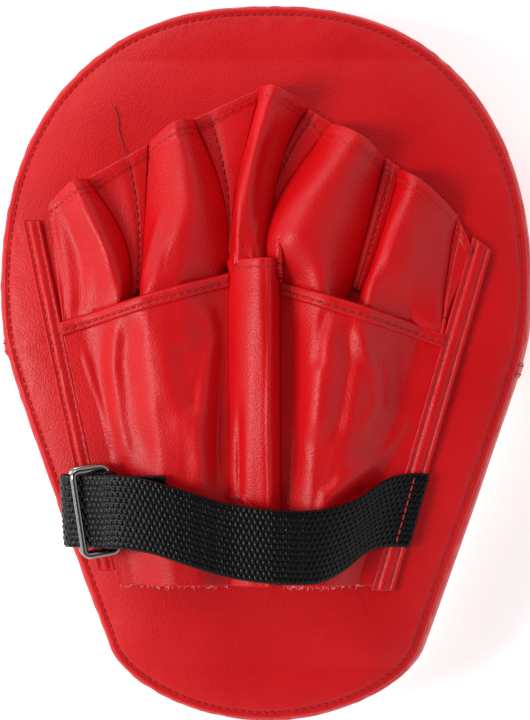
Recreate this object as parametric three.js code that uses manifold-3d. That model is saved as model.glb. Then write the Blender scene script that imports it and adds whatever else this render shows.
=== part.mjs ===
// A hand-held punch mitt, lying on its strike face with the glove side up.
// +Y points to the fingertip end, +X to the strap's sewn end, +Z up out of the glove.
// The origin is under the middle of the pad, on the plane that it rests on. Units: mm.
import * as THREE from 'three';
import { mergeVertices } from 'three/addons/utils/BufferGeometryUtils.js';
import Module from 'manifold-3d';

const manifold = await Module();
manifold.setup();

// ---------------------------------------------------------------- driving dimensions
// Pad
const PAD_LENGTH = 256;
const PAD_HALF_WIDTH = 95.3;
const PAD_THICKNESS = 39;        // at the rim, from the strike face to the back cover's edge
const BACK_CROWN = 6;            // how far the back cover's middle stands above its rim
const CROWN_REACH = 12;          // how quickly it rises from the rim
const TOP_ROUND_START = 20.2;    // the fingertip end is rounded above this Y
const TOP_ROUND_POWER = 2.37;
const TAPER_START = 8.3;         // the sides taper towards the wrist below this Y
const TAPER = 0.354;             // half width lost for each mm
const TAPER_SOFTNESS = 12;
const WRIST_ROUND = 26.5;        // length of the rounded wrist end
const BEND_SAG = 9;              // the strike face is hollow by this much, end to end
const REST_BAND = 9;             // flat band at each end that the mitt rests on
const FRONT_ROUND = 9;           // how far the strike face's rounded edge reaches in
const FRONT_SEAM = 9;            // height of the seam between strike cover and side band
const BAND_BULGE = 1.8;          // how far the side band swells beyond its seams
const LEATHER = 1.2;             // artificial leather with its lining
const GAP = 0.3;                 // between touching pieces
const FOAM_FRONT = 14;           // dense foam behind the strike face
const FOAM_PLAY = 0.6;           // between the foam layers and round them
const FOAM_MIDDLE = 12;
// Side joins
const JOIN_LENGTH = 5.5;
const JOIN_LEFT_Y = 5.5;
const JOIN_RIGHT_Y = -3;
// Glove
const GLOVE_MARGIN = 15.3;       // what the glove leaves free at each side of the pad
const STRIP_WIDTH = 5.8;
const STRIP_THICKNESS = 1.6;
const HEM = 4;                   // folded hem of the hand cover
const COVER_HEIGHT = 12;
const PLEAT_HEIGHT = 9;
const COVER_WRIST_Y = -78;
const PLEAT_TOP_Y = 35.5;
// Strap and rings
const WEBBING_WIDTH = 25;
const WEBBING = 1.4;             // webbing thickness
const STRAP_Y = -52;             // middle of the strap at the rings
const WIRE = 2.4;                // ring wire diameter
const RING_LENGTH = 12;          // between the middles of a ring's two long sides
const RING_PLAY = 1.3;           // between the webbing's edge and the wire
const RING_SLANT = 8;            // degrees that the rings lie askew
const TAIL_LENGTH = 17;
const TILT_FROM_BACK = 1.3;      // degrees between the lower ring and the back cover
const RING_SPREAD = 20;          // degrees between the two rings

// ---------------------------------------------------------------- derived sizes
const END_Y = PAD_LENGTH / 2;
const REST_START = END_Y - FRONT_ROUND - REST_BAND - 3;
const GLOVE_HALF_SPAN = PAD_HALF_WIDTH - GLOVE_MARGIN;
const FOOT = GAP + LEATHER / 2;                    // middle of a leather layer sewn flat
const STRIP_TOP = GAP + STRIP_THICKNESS;

// ---------------------------------------------------------------- materials
const leatherRed = new THREE.MeshStandardMaterial({ color: 0xc8141c, roughness: 0.42, metalness: 0 });
const leatherWhite = new THREE.MeshStandardMaterial({ color: 0xe9e4dc, roughness: 0.42, metalness: 0 });
const webbingBlack = new THREE.MeshStandardMaterial({ color: 0x141415, roughness: 0.8, metalness: 0 });
const steel = new THREE.MeshStandardMaterial({ color: 0xc9c9cb, roughness: 0.18, metalness: 1 });
const foamDense = new THREE.MeshStandardMaterial({ color: 0x3a3a3c, roughness: 0.9, metalness: 0 });
const foamSoft = new THREE.MeshStandardMaterial({ color: 0xe8e6e0, roughness: 0.9, metalness: 0 });

// ---------------------------------------------------------------- shape of the pad
const mix = (a, b, t) => a + (b - a) * t;
const clamp01 = (t) => Math.min(1, Math.max(0, t));
function smooth(from, to, value) {
  const t = clamp01((value - from) / (to - from));
  return t * t * (3 - 2 * t);
}

function halfWidth(y) {
  const below = TAPER_START - y;
  const taper = 0.5 * TAPER * (below + Math.hypot(below, TAPER_SOFTNESS));
  const top = clamp01((y - TOP_ROUND_START) / (END_Y - TOP_ROUND_START));
  const wrist = clamp01((WRIST_ROUND - END_Y - y) / WRIST_ROUND);
  const topRound = (1 - top ** TOP_ROUND_POWER) ** (1 / TOP_ROUND_POWER);
  return (PAD_HALF_WIDTH - taper) * topRound * Math.sqrt(1 - wrist * wrist);
}

// One closed loop of the outline, anticlockwise, moved in by the inset along its normals.
const SIDE_STEPS = 24;
const girth = [];
for (let i = 0; i <= SIDE_STEPS; i++) {
  const y = END_Y * Math.cos((Math.PI * i) / SIDE_STEPS);
  girth.push(new THREE.Vector2(-halfWidth(y), y));
}
for (let i = SIDE_STEPS - 1; i > 0; i--) girth.push(new THREE.Vector2(-girth[i].x, girth[i].y));

function outline(inset) {
  return girth.map((point, i) => {
    const before = girth[(i + girth.length - 1) % girth.length];
    const after = girth[(i + 1) % girth.length];
    const along = after.clone().sub(before).normalize();
    return point.clone().add(new THREE.Vector2(-along.y, along.x).multiplyScalar(inset));
  });
}

function rimDistance(x, y) {
  let best = Infinity;
  girth.forEach((a, i) => {
    const b = girth[(i + 1) % girth.length];
    const t = clamp01(((x - a.x) * (b.x - a.x) + (y - a.y) * (b.y - a.y)) / a.distanceToSquared(b));
    best = Math.min(best, Math.hypot(x - mix(a.x, b.x, t), y - mix(a.y, b.y, t)));
  });
  return best;
}

const bend = (y) => BEND_SAG * Math.max(0, 1 - (y / REST_START) ** 2);
const backHeight = (x, y) => PAD_THICKNESS + BACK_CROWN * (1 - Math.exp(-rimDistance(x, y) / CROWN_REACH));
const backZ = (x, y) => backHeight(x, y) + bend(y);

// ---------------------------------------------------------------- mesh builders
function geometry(vertices, triangles) {
  const shape = new THREE.BufferGeometry();
  shape.setAttribute('position', new THREE.Float32BufferAttribute(vertices.flatMap((v) => [v.x, v.y, v.z]), 3));
  shape.setIndex(triangles.flat());
  return shape;
}

// A closed body skinned over loops of equal length, each end closed by a fan.
function skin(loops) {
  const vertices = loops.flat();
  const triangles = [];
  const size = loops[0].length;
  for (let row = 0; row + 1 < loops.length; row++) {
    for (let i = 0; i < size; i++) {
      const [a, b] = [row * size + i, row * size + ((i + 1) % size)];
      triangles.push([a, b, b + size], [a, b + size, a + size]);
    }
  }
  for (const row of [0, loops.length - 1]) {
    const middle = new THREE.Vector3();
    loops[row].forEach((v) => middle.addScaledVector(v, 1 / size));
    vertices.push(middle);
    for (let i = 0; i < size; i++) {
      const [a, b] = [row * size + i, row * size + ((i + 1) % size)];
      triangles.push(row ? [a, b, vertices.length - 1] : [b, a, vertices.length - 1]);
    }
  }
  return geometry(vertices, triangles);
}

// A body of the pad's outline: each ring is [inset, height] or [inset, height function].
function padDisc(rings) {
  return skin(rings.map(([inset, height, share = 1]) => outline(inset).map(({ x, y }) => {
    const z = typeof height === 'function' ? height(x * share, y * share) : height;
    return new THREE.Vector3(x * share, y * share, z + bend(y * share));
  })));
}

// A band round the pad: a closed profile of [inset, height] carried along the outline.
function padBand(profile) {
  const loops = profile.map(([inset, height]) => outline(inset).map(({ x, y }) => new THREE.Vector3(x, y, height + bend(y))));
  const vertices = loops.flat();
  const size = girth.length;
  const triangles = [];
  loops.forEach((_, row) => {
    const next = (row + 1) % loops.length;
    for (let i = 0; i < size; i++) {
      const j = (i + 1) % size;
      triangles.push([row * size + i, row * size + j, next * size + j], [row * size + i, next * size + j, next * size + i]);
    }
  });
  return geometry(vertices, triangles);
}

// A sheet of even thickness: place(u, v) gives its middle surface, u and v from 0 to 1.
function sheet(place, across, along, thickness) {
  const step = 1e-3;
  const sides = [[], []];
  for (let j = 0; j <= along; j++) {
    for (let i = 0; i <= across; i++) {
      const [u, v] = [i / across, j / along];
      const du = place(Math.min(1, u + step), v).sub(place(Math.max(0, u - step), v));
      const dv = place(u, Math.min(1, v + step)).sub(place(u, Math.max(0, v - step)));
      const normal = du.cross(dv).normalize().multiplyScalar(thickness / 2);
      sides[0].push(place(u, v).add(normal));
      sides[1].push(place(u, v).sub(normal));
    }
  }
  const row = across + 1;
  const below = sides[0].length;
  const triangles = [];
  for (let j = 0; j < along; j++) {
    for (let i = 0; i < across; i++) {
      const [a, b, c, d] = [j * row + i, j * row + i + 1, (j + 1) * row + i + 1, (j + 1) * row + i];
      triangles.push([a, b, c], [a, c, d], [c + below, b + below, a + below], [d + below, c + below, a + below]);
    }
  }
  const rim = [];
  for (let i = 0; i < across; i++) rim.push(i);
  for (let j = 0; j < along; j++) rim.push(j * row + across);
  for (let i = across; i > 0; i--) rim.push(along * row + i);
  for (let j = along; j > 0; j--) rim.push(j * row);
  rim.forEach((a, i) => {
    const b = rim[(i + 1) % rim.length];
    triangles.push([a, a + below, b + below], [a, b + below, b]);
  });
  return geometry(sides.flat(), triangles);
}

// ---------------------------------------------------------------- cutting
function toSolid(shape) {
  const bare = shape.clone();
  bare.deleteAttribute('normal');
  bare.deleteAttribute('uv');
  const merged = mergeVertices(bare, 1e-4);
  return new manifold.Manifold(new manifold.Mesh({
    numProp: 3,
    vertProperties: new Float32Array(merged.attributes.position.array),
    triVerts: new Uint32Array(merged.index.array),
  }));
}

function toGeometry(solid) {
  const mesh = solid.getMesh();
  const shape = new THREE.BufferGeometry();
  shape.setAttribute('position', new THREE.BufferAttribute(new Float32Array(mesh.vertProperties), 3));
  shape.setIndex(new THREE.BufferAttribute(new Uint32Array(mesh.triVerts), 1));
  return shape;
}

// The half space on the fingertip side of the join line, moved by the offset along Y.
const JOIN_ANGLE = Math.atan2(JOIN_RIGHT_Y - JOIN_LEFT_Y, 2 * PAD_HALF_WIDTH);
function beyondJoin(offset) {
  const reach = 4 * PAD_LENGTH;
  const block = new THREE.BoxGeometry(reach, reach, reach);
  block.translate(0, reach / 2, 0);
  block.rotateZ(JOIN_ANGLE);
  block.translate(0, (JOIN_LEFT_Y + JOIN_RIGHT_Y) / 2 + offset, 0);
  return toSolid(block);
}

// ---------------------------------------------------------------- the assembly
const mitt = new THREE.Group();
function piece(name, shape, material) {
  const mesh = new THREE.Mesh(shape, material);
  mesh.name = name;
  mitt.add(mesh);
  return mesh;
}

// The rings that every layer of the pad shares, from the rim in, so that the layers nest.
const FACE_RINGS = [[FRONT_ROUND, 1], [FRONT_ROUND + REST_BAND, 1], [0, 0.62], [0, 0.3]];
const face = (height) => FACE_RINGS.map(([inset, share]) => [inset, height, share]);

function strikeCover() {
  const edge = [[5, 0.8], [2.2, 3.6], [BAND_BULGE * 0.6, FRONT_SEAM - GAP]];
  const wall = edge.map(([inset, height], i) => [inset + LEATHER * (0.6 + 0.2 * i), height + LEATHER * (0.8 - 0.4 * i)]);
  const whole = toSolid(padDisc([...face(0).reverse(), ...edge, ...wall.reverse(), ...face(LEATHER)]));
  piece('strike_cover_upper', toGeometry(whole.intersect(beyondJoin(GAP / 2))), leatherRed);
  piece('strike_cover_lower', toGeometry(whole.subtract(beyondJoin(-GAP / 2))), leatherWhite);
}

function sideBand() {
  const outer = [
    [BAND_BULGE * 0.6, FRONT_SEAM],
    [0.1, mix(FRONT_SEAM, PAD_THICKNESS, 0.25)],
    [0, mix(FRONT_SEAM, PAD_THICKNESS, 0.6)],
    [0.4, mix(FRONT_SEAM, PAD_THICKNESS, 0.84)],
    [BAND_BULGE, PAD_THICKNESS - 0.7],
  ];
  const band = (proud) => padBand([
    ...outer.map(([inset, height]) => [inset - proud, height]),
    ...outer.map(([inset, height]) => [inset + LEATHER, height]).reverse(),
  ]);
  const whole = toSolid(band(0));
  piece('side_band_upper', toGeometry(whole.intersect(beyondJoin(JOIN_LENGTH / 2 + GAP))), leatherRed);
  piece('side_band_lower', toGeometry(whole.subtract(beyondJoin(-JOIN_LENGTH / 2 - GAP))), leatherRed);
  const overlap = toSolid(band(0)).intersect(beyondJoin(-JOIN_LENGTH / 2)).subtract(beyondJoin(JOIN_LENGTH / 2));
  for (const part of overlap.decompose()) {
    const shape = toGeometry(part);
    shape.computeBoundingBox();
    piece(shape.boundingBox.min.x < 0 ? 'side_join_left' : 'side_join_right', shape, leatherRed);
  }
}

function backCover() {
  const rim = [BAND_BULGE + 0.2, 4.5];
  const at = (drop) => (x, y) => backHeight(x, y) - drop;
  piece('back_cover', padDisc([
    ...face(at(LEATHER)).reverse(), ...rim.map((inset) => [inset, at(LEATHER)]).reverse(),
    ...rim.map((inset) => [inset, at(0)]), ...face(at(0)),
  ]), leatherRed);
}

function foamLayers() {
  const side = BAND_BULGE + LEATHER + 1;
  const front = LEATHER + FOAM_PLAY;
  const middle = front + FOAM_FRONT + FOAM_PLAY;
  const back = middle + FOAM_MIDDLE + FOAM_PLAY;
  const layer = (name, low, high, lowRim, material) => piece(name, padDisc([
    ...face(low).reverse(), [side, lowRim], [side, high], ...face(high),
  ]), material);
  layer('foam_front', front, front + FOAM_FRONT, FRONT_SEAM, foamDense);
  layer('foam_middle', middle, middle + FOAM_MIDDLE, middle, foamSoft);
  layer('foam_back', back, (x, y) => backHeight(x, y) - LEATHER - FOAM_PLAY, back, foamSoft);
}

// ---------------------------------------------------------------- glove
// A point of the glove: X as a share of the glove's half span, Y, height above the back cover.
const gloveX = (share) => share * GLOVE_HALF_SPAN;
const onBack = (x, y, height) => new THREE.Vector3(x, y, backZ(x, y) + height);

// The side strips: outer edge at the fingertip end and at the wrist end.
const STRIPS = {
  left: { tip: [-1.058, 49.5], wrist: [-0.729, -72.7], tipCut: 0, inward: 1 },
  right: { tip: [0.992, 38.9], wrist: [0.566, -79.7], tipCut: 8.6, inward: -1 },
};
function stripEdge({ tip, wrist }, y) {
  return gloveX(mix(wrist[0], tip[0], (y - wrist[1]) / (tip[1] - wrist[1])));
}
const leftInner = (y) => stripEdge(STRIPS.left, y) + STRIP_WIDTH;
const rightInner = (y) => stripEdge(STRIPS.right, y) - STRIP_WIDTH - 1.4;

function sideStrips() {
  for (const [side, strip] of Object.entries(STRIPS)) {
    const inner = side === 'left' ? leftInner : rightInner;
    piece(`side_strip_${side}`, sheet((u, v) => {
      const y = mix(strip.wrist[1], strip.tip[1] + strip.tipCut * u, v);
      const x = mix(stripEdge(strip, y), inner(y), u);
      return onBack(x, y, GAP + STRIP_THICKNESS / 2);
    }, 2, 14, STRIP_THICKNESS), leatherRed);
  }
}

// Finger stalls, left to right: foot points at the knuckle end and at the fingertip end,
// each [share, Y], and the arch's height at both ends. The sag rounds the knuckle end.
const STALLS = [
  { base: [[-0.868, 15.4], [-0.588, 21.5]], tip: [[-0.952, 54.8], [-0.785, 64.2]], rise: [11, 9], sag: 0 },
  { base: [[-0.53, 24.2], [-0.15, 34.5]], tip: [[-0.497, 76.2], [-0.312, 85.2]], rise: [13, 9.5], sag: 2 },
  { base: [[-0.137, 37.5], [0.0, 44]], tip: [[-0.008, 96.5], [0.197, 88.8]], rise: [13, 15], sag: 0 },
  { base: [[0.03, 42.5], [0.42, 24.8]], tip: [[0.302, 83.5], [0.535, 71.3]], rise: [14, 12], sag: 4.5 },
  { base: [[0.452, 24.6], [0.752, 10.9]], tip: [[0.6, 67.4], [0.82, 48.5]], rise: [13, 10], sag: 0 },
];
const between = (a, b, t) => [mix(a[0], b[0], t), mix(a[1], b[1], t)];
function stallFeet(stall, v) {
  return stall.base.map((point, side) => {
    const [share, y] = between(point, stall.tip[side], v);
    return new THREE.Vector2(gloveX(share), y);
  });
}

function fingerStalls() {
  STALLS.forEach((stall, index) => {
    piece(`finger_stall_${index + 1}`, sheet((u, v) => {
      const [left, right] = stallFeet(stall, v);
      const wall = LEATHER / 2 / left.distanceTo(right);
      const angle = Math.PI * u;
      const at = left.clone().lerp(right, mix(wall, 1 - wall, (1 - Math.cos(angle)) / 2));
      const height = mix(stall.rise[0], stall.rise[1], v) * Math.sin(angle) ** 0.85;
      return onBack(at.x, at.y - stall.sag * Math.sin(angle) * (1 - v), GAP + height);
    }, 12, 6, LEATHER), leatherRed);
  });
}

// Flat stretches of the stall strip, sewn down between two stalls, from where they are wide
// enough to the fingertip edge.
const VALLEY_STARTS = [0.3, 0.3, 0.3, 0.35, 0.4];
function valleys() {
  VALLEY_STARTS.forEach((start, index) => {
    const next = STALLS[index + 1];
    piece(`stall_valley_${index + 1}`, sheet((u, v) => {
      const share = mix(start, 1, v);
      const left = stallFeet(STALLS[index], share)[1];
      const right = next ? stallFeet(next, share)[0] : new THREE.Vector2(rightInner(left.y), left.y - 0.3);
      const spare = 2 * GAP / left.distanceTo(right);
      const at = left.clone().lerp(right, mix(spare, 1 - spare, u));
      return onBack(at.x, at.y, FOOT);
    }, 1, 5, LEATHER), leatherRed);
  });
}

// Hand cover: a loose panel each side of a raised centre pleat.
const PLEAT_LEFT = -0.14;
const PLEAT_RIGHT = 0.08;
const COVER_KNUCKLE = { left: [[-0.886, 12.8], [-0.143, 30.4]], right: [[0.078, 27.6], [0.807, 8.1]] };
function knuckleY(x, side) {
  const [[x0, y0], [x1, y1]] = COVER_KNUCKLE[side];
  return mix(y0, y1, (x / GLOVE_HALF_SPAN - x0) / (x1 - x0));
}
const fullness = (y) => mix(0.62, 1, smooth(COVER_WRIST_Y, 5, y));
function coverHeight(share, y, side) {
  const from = side === 'left' ? share : 1 - share;
  const rise = smooth(0.12, 0.55, from) * (1 - 0.62 * smooth(0.72, 1, from));
  return FOOT + COVER_HEIGHT * rise * fullness(y);
}
function coverEdges(side, y) {
  return side === 'left'
    ? [leftInner(y) + 2 * GAP, gloveX(PLEAT_LEFT) - GAP]
    : [gloveX(PLEAT_RIGHT) + GAP, rightInner(y) - 2 * GAP];
}
function coverPoint(side, u, v, bottom, top) {
  const guess = mix(...coverEdges(side, 0), u);
  const y = mix(bottom, top(guess), v);
  const x = mix(...coverEdges(side, y), u);
  return onBack(x, y, coverHeight(u, y, side));
}

function handCover() {
  for (const side of ['left', 'right']) {
    const hemFoot = (x) => knuckleY(x, side) - HEM - GAP;
    piece(`hand_cover_${side}`, sheet((u, v) => coverPoint(side, u, v, COVER_WRIST_Y, hemFoot), 12, 12, LEATHER), leatherRed);
    piece(`cover_hem_${side}`, sheet((u, v) => {
      const hem = coverPoint(side, u, 1, 0, (x) => knuckleY(x, side) - HEM * (1 - v));
      return hem.add(new THREE.Vector3(0, 0, LEATHER / 2));
    }, 12, 1, 2 * LEATHER), leatherRed);
  }
  piece('cover_pleat', sheet((u, v) => {
    const y = mix(COVER_WRIST_Y, PLEAT_TOP_Y, v);
    const x = mix(gloveX(PLEAT_LEFT) + LEATHER, gloveX(PLEAT_RIGHT) - LEATHER, (1 - Math.cos(Math.PI * u)) / 2);
    const foot = 0.38 * COVER_HEIGHT * fullness(y);
    const rise = PLEAT_HEIGHT * fullness(y) * Math.sin(Math.PI * u) ** 0.6;
    return onBack(x, y, FOOT + foot + rise);
  }, 10, 10, LEATHER), leatherRed);
}

// ---------------------------------------------------------------- strap and rings
// Both rings hang on one tab by a long side each, the upper one's bar above the lower one's.
// Heights are above the back cover.
const BAR = WIRE / 2 + GAP + WEBBING / 2;          // from a bar's middle to webbing round it
const RING_X = stripEdge(STRIPS.left, STRAP_Y) + STRIP_WIDTH + 3.6;
const LOWER_BAR = new THREE.Vector2(RING_X, 6.2);  // X and height of the anchored bars
const UPPER_BAR = LOWER_BAR.clone().add(new THREE.Vector2(0.6, 1).setLength(WIRE + GAP + 0.1));
const backFall = backZ(LOWER_BAR.x, STRAP_Y) - backZ(LOWER_BAR.x - RING_LENGTH, STRAP_Y);
const fallAngle = THREE.MathUtils.radToDeg(Math.atan(backFall / RING_LENGTH));
const LOWER_TILT = TILT_FROM_BACK - fallAngle;     // degrees that the free side is lifted
const UPPER_TILT = LOWER_TILT + RING_SPREAD;
const RING_HALF = WEBBING_WIDTH / 2 + RING_PLAY + WIRE / 2;
const RING_CORNER = 2.6;
const RING_SHIFT = RING_LENGTH / 2 * Math.sin(THREE.MathUtils.degToRad(RING_SLANT));
const slope = (x) => (backZ(x, STRAP_Y + RING_HALF) - backZ(x, STRAP_Y - RING_HALF)) / (2 * RING_HALF);

function wireRing() {
  const sides = 8;
  const path = new THREE.CurvePath();
  const x = -RING_LENGTH;
  const points = [[0, -RING_HALF], [0, RING_HALF], [x, RING_HALF], [x, -RING_HALF]].map(([a, b]) => new THREE.Vector3(a, b, 0));
  const towards = (from, to) => from.clone().add(to.clone().sub(from).setLength(RING_CORNER));
  points.forEach((point, i) => {
    const before = points[(i + 3) % 4];
    const after = points[(i + 1) % 4];
    path.add(new THREE.QuadraticBezierCurve3(towards(point, before), point, towards(point, after)));
    path.add(new THREE.LineCurve3(towards(point, after), towards(after, point)));
  });
  const stations = 40;
  const loops = Array.from({ length: stations }, (_, i) => {
    const centre = path.getPointAt(i / stations);
    const along = path.getTangentAt(i / stations);
    return Array.from({ length: sides }, (__, k) => {
      const angle = (2 * Math.PI * (k + 0.5)) / sides;
      const [out, up] = [Math.cos(angle) * WIRE / 2, Math.sin(angle) * WIRE / 2];
      return new THREE.Vector3(centre.x + along.y * out, centre.y - along.x * out, up);
    });
  });
  const triangles = [];
  for (let row = 0; row < stations; row++) {
    for (let k = 0; k < sides; k++) {
      const [a, b] = [row * sides + k, row * sides + ((k + 1) % sides)];
      const shift = row + 1 < stations ? sides : -row * sides;
      triangles.push([a, b + shift, b], [a, a + shift, b + shift]);
    }
  }
  return geometry(loops.flat(), triangles);
}

function rings() {
  const lying = Math.atan(slope(LOWER_BAR.x));
  const askew = THREE.MathUtils.degToRad(RING_SLANT);
  for (const [name, bar, tilt] of [['ring_lower', LOWER_BAR, LOWER_TILT], ['ring_upper', UPPER_BAR, UPPER_TILT]]) {
    const ring = piece(name, wireRing(), steel);
    ring.position.copy(onBack(bar.x, STRAP_Y, bar.y)).setY(STRAP_Y + RING_SHIFT);
    ring.rotation.set(lying, THREE.MathUtils.degToRad(tilt), askew, 'ZXY');
  }
}

// A ribbon of webbing along stations of [X, Y, height, lean] on its middle line. The lean is
// the X that each mm of its width adds towards the fingertip side.
function ribbon(name, stations, width, steps, place = onBack) {
  const line = (values) => new THREE.CatmullRomCurve3(values, false, 'centripetal');
  const middle = line(stations.map(([x, y, height]) => new THREE.Vector3(x, y, height)));
  const lean = (v) => {
    const at = v * (stations.length - 1);
    const i = Math.min(stations.length - 2, Math.floor(at));
    return mix(stations[i][3], stations[i + 1][3], at - i);
  };
  piece(name, sheet((u, v) => {
    const at = middle.getPoint(v);
    const across = (u - 0.5) * width;
    return place(at.x + across * lean(v), at.y + across, at.z);
  }, 2, steps, WEBBING), webbingBlack);
}

const FLAT_ON_STRIP = STRIP_TOP + GAP + WEBBING / 2;
const STRAP_TOP = COVER_HEIGHT + PLEAT_HEIGHT - 3.4;  // over the hand cover's pleat
const TAIL_START = LOWER_BAR.x + 4.9;
const TAIL_HEIGHT = UPPER_BAR.y + BAR + WEBBING + GAP + 0.3;
const askewLean = -Math.tan(THREE.MathUtils.degToRad(RING_SLANT));

function strap() {
  const y = STRAP_Y;
  const left = LOWER_BAR.x - RING_LENGTH;          // the lower ring's free side
  const right = stripEdge(STRIPS.right, STRAP_Y) + 1.2;
  const over = (share) => mix(left, right, share);
  ribbon('wrist_strap', [
    [right, -51.8, FLAT_ON_STRIP, 0.28],
    [right - 6.5, -51.6, FLAT_ON_STRIP + 0.4, 0.28],
    [right - 13.5, -53, 5.6, 0.28],
    [over(0.795), -60.5, 11.5, 0.2],
    [over(0.712), -63.8, STRAP_TOP - 2.1, 0.04],
    [over(0.595), -63.9, STRAP_TOP, 0],
    [over(0.454), -61.8, STRAP_TOP - 1.2, 0],
    [over(0.329), -57.3, STRAP_TOP + 0.2, 0],
    [over(0.229), -53.6, STRAP_TOP - 0.2, -0.04],
    [left + 16.6, y, 15.8, -0.04],
    [left + 11.6, y, 14.2, -0.06],
    [left + 7.8, y, 12.0, -0.06],
    [left + 4.2, y, 10.2, -0.06],
    [left, y, 9.4, -0.04],
    [left - 2.8, y, 8.9, -0.04],
    [left - 4.6, y, 6.7, -0.04],
    [left - 2.4, y, 4.2, -0.08],
    [left + 1.2, y, 4.2, askewLean],
    [left + 3.8, y, 6.4, askewLean],
    [left + 6.4, y, 9.0, askewLean],
    [left + 9.0, y, TAIL_HEIGHT - 1.2, askewLean],
    [left + 12.0, y, TAIL_HEIGHT, askewLean],
    [TAIL_START - 2 * GAP, y, TAIL_HEIGHT + 0.1, askewLean],
  ], WEBBING_WIDTH, 72);
  ribbon('strap_tail', [
    [TAIL_START, y, TAIL_HEIGHT + 0.1, askewLean],
    [TAIL_START + TAIL_LENGTH / 2, y, TAIL_HEIGHT + 0.7, askewLean],
    [TAIL_START + TAIL_LENGTH, y, TAIL_HEIGHT + 1.2, askewLean],
  ], WEBBING_WIDTH - 2 * GAP, 4);
}

// The anchor tab: a folded webbing loop round both anchored bars, sewn to the left strip.
// Its feet follow the back cover, and its loop follows the straight bars.
function onBars(x, y, height) {
  const bars = backZ(LOWER_BAR.x, STRAP_Y) + slope(LOWER_BAR.x) * (y - STRAP_Y - RING_SHIFT);
  return new THREE.Vector3(x, y, mix(backZ(x, y), bars, smooth(LOWER_BAR.x - 4, LOWER_BAR.x - 1.5, x)) + height);
}

function anchorTab() {
  const y = STRAP_Y + RING_SHIFT;
  const round = (bar, degrees) => {
    const angle = THREE.MathUtils.degToRad(degrees);
    return [bar.x + BAR * Math.cos(angle), y, bar.y + BAR * Math.sin(angle), askewLean];
  };
  const end = LOWER_BAR.x - 6.8;
  ribbon('anchor_tab', [
    [end, y, FLAT_ON_STRIP, askewLean],
    [end + 3.2, y, FLAT_ON_STRIP + 0.3, askewLean],
    ...[-90, -60, -30].map((degrees) => round(LOWER_BAR, degrees)),
    ...[-20, 20, 60, 95, 130].map((degrees) => round(UPPER_BAR, degrees)),
    round(LOWER_BAR, 160),
    [end + 2.4, y, FLAT_ON_STRIP + WEBBING + 2 * GAP + 0.4, askewLean],
    [end, y, FLAT_ON_STRIP + WEBBING + GAP, askewLean],
  ], WEBBING_WIDTH - 3, 36, onBars);
}

strikeCover();
sideBand();
backCover();
foamLayers();
sideStrips();
fingerStalls();
valleys();
handCover();
strap();
anchorTab();
rings();

export default mitt;
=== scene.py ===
"""A hand-held punch mitt in red leather, lying on its strike face with the glove side up."""

import math

import bmesh
import bpy
import numpy as np
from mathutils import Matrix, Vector


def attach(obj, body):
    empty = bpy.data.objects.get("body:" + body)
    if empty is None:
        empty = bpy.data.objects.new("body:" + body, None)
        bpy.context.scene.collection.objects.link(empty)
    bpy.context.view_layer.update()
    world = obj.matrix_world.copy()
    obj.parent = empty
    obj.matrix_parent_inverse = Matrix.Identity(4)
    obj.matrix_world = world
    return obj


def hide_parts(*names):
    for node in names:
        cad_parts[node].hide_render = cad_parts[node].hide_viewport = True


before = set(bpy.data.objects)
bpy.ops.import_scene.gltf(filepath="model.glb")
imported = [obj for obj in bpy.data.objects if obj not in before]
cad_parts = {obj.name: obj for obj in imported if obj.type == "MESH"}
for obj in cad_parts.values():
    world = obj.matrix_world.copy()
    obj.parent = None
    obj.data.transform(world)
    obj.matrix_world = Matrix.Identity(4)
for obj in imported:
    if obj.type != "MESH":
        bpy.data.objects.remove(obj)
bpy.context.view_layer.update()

MM = 0.001

# ---------------------------------------------------------------- sizes, in mm, as in the CAD part
PAD_LENGTH = 256
PAD_HALF_WIDTH = 95.3
PAD_THICKNESS = 39
BACK_CROWN = 6
CROWN_REACH = 12
TOP_ROUND_START = 20.2
TOP_ROUND_POWER = 2.37
TAPER_START = 8.3
TAPER = 0.354
TAPER_SOFTNESS = 12
WRIST_ROUND = 26.5
BEND_SAG = 9
REST_START = 107
FRONT_SEAM = 9
BAND_BULGE = 1.8
LEATHER = 1.2
GAP = 0.3
FOAM_FRONT = 14
FOAM_MIDDLE = 12
FOAM_PLAY = 0.6
JOIN_LENGTH = 5.5
JOIN_LEFT_Y = 5.5
JOIN_RIGHT_Y = -3
GLOVE_HALF_SPAN = 80
STRIP_WIDTH = 5.8
STRIP_THICKNESS = 1.6
HEM = 4
COVER_HEIGHT = 12
PLEAT_HEIGHT = 9
COVER_WRIST_Y = -78
PLEAT_TOP_Y = 35.5
WEBBING_WIDTH = 25
WEBBING = 1.4
STRAP_Y = -52
WIRE = 2.4
RING_LENGTH = 12
RING_HALF = 15
RING_CORNER = 2.6
RING_SLANT = math.radians(8)
TAIL_LENGTH = 17
END_Y = PAD_LENGTH / 2
FOOT = GAP + LEATHER / 2


# ---------------------------------------------------------------- numbers
def mix(a, b, t):
    return a + (b - a) * t


def smooth(start, end, value):
    t = np.clip((value - start) / (end - start), 0, 1)
    return t * t * (3 - 2 * t)


def hump(value, middle, width):
    """1 at the middle, falling off to 0 over about twice the width."""
    return np.exp(-(((value - middle) / width) ** 2))


def noise(x, y, size, seed=0):
    """Smooth noise from -1 to 1, with bumps about as far apart as the size."""
    x, y = np.asarray(x) / size + 17.3 * seed, np.asarray(y) / size - 9.1 * seed
    ix, iy = np.floor(x), np.floor(y)
    fx, fy = x - ix, y - iy
    fx, fy = fx**3 * (fx * (fx * 6 - 15) + 10), fy**3 * (fy * (fy * 6 - 15) + 10)

    def corner(a, b):
        h = np.sin(a * 127.1 + b * 311.7 + seed * 74.7) * 43758.5453
        return 2 * (h - np.floor(h)) - 1

    low = mix(corner(ix, iy), corner(ix + 1, iy), fx)
    high = mix(corner(ix, iy + 1), corner(ix + 1, iy + 1), fx)
    return mix(low, high, fy)


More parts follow.
